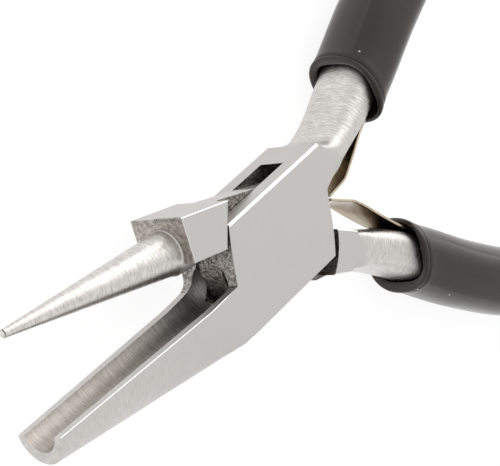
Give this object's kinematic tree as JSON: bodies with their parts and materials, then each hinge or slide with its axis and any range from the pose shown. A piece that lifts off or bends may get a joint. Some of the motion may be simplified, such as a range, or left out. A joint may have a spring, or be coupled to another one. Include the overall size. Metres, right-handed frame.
{
  "type": "round nose pliers",
  "caption": "Small hand pliers with a round tapering jaw, a hollow half-round jaw, a lay-through box joint, leaf return springs and sleeved handles, standing open.",
  "frame": {"origin": "on the pivot axis, in the plane of the box joint's front face", "axes": "+X to the jaw tips, +Y to the hollow jaw's side, +Z out of the front face"},
  "size_m": [0.1353, 0.0834, 0.0118],
  "materials": {
    "satin_steel": "satin ground steel, brushed across the jaws and shanks",
    "pin_steel": "satin steel, ground flush",
    "spring_steel": "tempered spring steel with a straw tint",
    "dark_vinyl": "dipped charcoal vinyl with a soft gloss"
  },
  "bodies": {
    "box_side": {"box_half": "satin_steel", "pivot_pin": "pin_steel", "box_grip": "dark_vinyl", "box_leaf_rivet": "pin_steel"},
    "tongue_side": {"tongue_half": "satin_steel", "tongue_grip": "dark_vinyl", "tongue_leaf_rivet": "pin_steel"},
    "box_leaf": {"box_leaf_spring": "spring_steel"},
    "tongue_leaf": {"tongue_leaf_spring": "spring_steel"}
  },
  "joints": [
    {"name": "jaw_pivot", "type": "hinge", "parent": "box_side", "child": "tongue_side", "pos_m": [0, 0, -0.0045], "axis": [0, 0, 1], "range_deg": [0, 18.5], "stiffness_Nm_per_rad": 0.8, "springref_deg": -5.73},
    {"name": "box_leaf_flex", "type": "hinge", "parent": "box_side", "child": "box_leaf", "pos_m": [-0.0203, -0.0079, -0.0045], "axis": [0, 0, 1], "range_deg": [-15, 0], "deforming": ["box_leaf_spring"]},
    {"name": "tongue_leaf_flex", "type": "hinge", "parent": "tongue_side", "child": "tongue_leaf", "pos_m": [-0.0203, 0.0079, -0.0045], "axis": [0, 0, 1], "range_deg": [0, 15], "deforming": ["tongue_leaf_spring"]}
  ],
  "couplings": [
    {"joint": "box_leaf_flex", "follows": "jaw_pivot", "ratio": -0.8},
    {"joint": "tongue_leaf_flex", "follows": "jaw_pivot", "ratio": 0.8}
  ]
}
